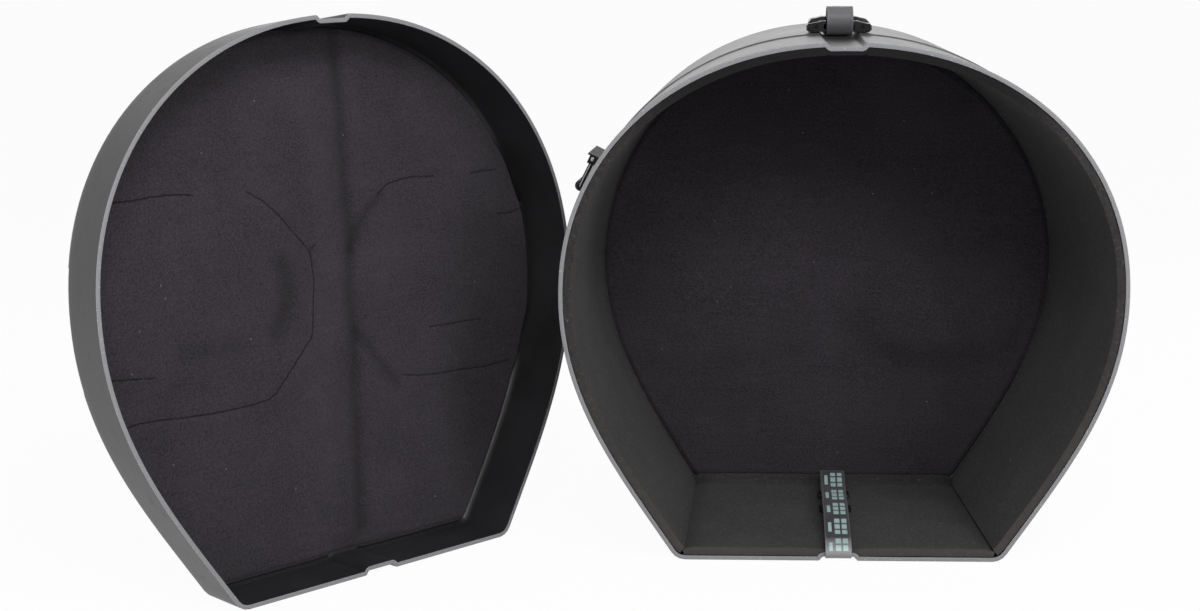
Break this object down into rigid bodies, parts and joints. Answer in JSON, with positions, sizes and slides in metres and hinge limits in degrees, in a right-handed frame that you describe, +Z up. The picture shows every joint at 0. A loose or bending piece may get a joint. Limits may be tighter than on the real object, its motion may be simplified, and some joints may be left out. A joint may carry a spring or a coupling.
{
  "type": "marching bass drum case",
  "caption": "Moulded hard case for a marching bass drum: deep foam-lined round-crowned body with side handles, girth strap and buckle, beside its shallow felt-lined pull-off lid.",
  "frame": {"origin": "middle of the footprint of the open case and its lid as they stand side by side, at floor level", "axes": "+Z up, -Y out of the body's mouth, +X from the lid towards the body along the pair's longest side"},
  "size_m": [1.4258, 0.7669, 0.7876],
  "materials": {
    "shell": "satin, leather-grained moulding",
    "foam": "cut closed-cell foam",
    "felt": "napped lining over foam",
    "webbing": "woven",
    "buckle": "moulded",
    "black_steel": "satin black",
    "bright_steel": "plated",
    "grip_rubber": "matte"
  },
  "bodies": {
    "case": {"body_shell": "shell", "side_foam": "foam", "floor_foam": "foam", "back_felt": "felt", "closing_strap": "webbing", "strap_loop": "webbing", "buckle_receiver": "buckle", "buckle_tongue": "buckle", "strap_slider": "buckle", "handle_plate_left": "black_steel", "handle_plate_right": "black_steel", "handle_backing_left": "bright_steel", "handle_backing_right": "bright_steel", "handle_rivet_left_1": "bright_steel", "handle_rivet_left_2": "bright_steel", "handle_rivet_left_3": "bright_steel", "handle_rivet_left_4": "bright_steel", "handle_rivet_right_1": "bright_steel", "handle_rivet_right_2": "bright_steel", "handle_rivet_right_3": "bright_steel", "handle_rivet_right_4": "bright_steel"},
    "lid": {"lid_shell": "shell", "lid_felt": "felt"},
    "left_handle": {"handle_bail_left": "bright_steel", "handle_grip_left": "grip_rubber"},
    "right_handle": {"handle_bail_right": "bright_steel", "handle_grip_right": "grip_rubber"},
    "release": {"buckle_release_slide": "buckle"}
  },
  "joints": [
    {"name": "lid_pull", "type": "slide", "parent": "case", "child": "lid", "axis": [-0.749, 0.6626, 0], "range_m": [0, 0.3]},
    {"name": "left_handle_swing", "type": "hinge", "parent": "case", "child": "left_handle", "pos_m": [-0.04478, 0.16881, 0.5653], "axis": [0.0939, 0.9956, 0], "range_deg": [0, 90]},
    {"name": "right_handle_swing", "type": "hinge", "parent": "case", "child": "right_handle", "pos_m": [0.66478, 0.16881, 0.5653], "axis": [0.0939, -0.9956, 0], "range_deg": [0, 90]},
    {"name": "buckle_release", "type": "slide", "parent": "case", "child": "release", "axis": [0, 1, 0], "range_m": [0, 0.005], "stiffness_N_per_m": 800}
  ]
}
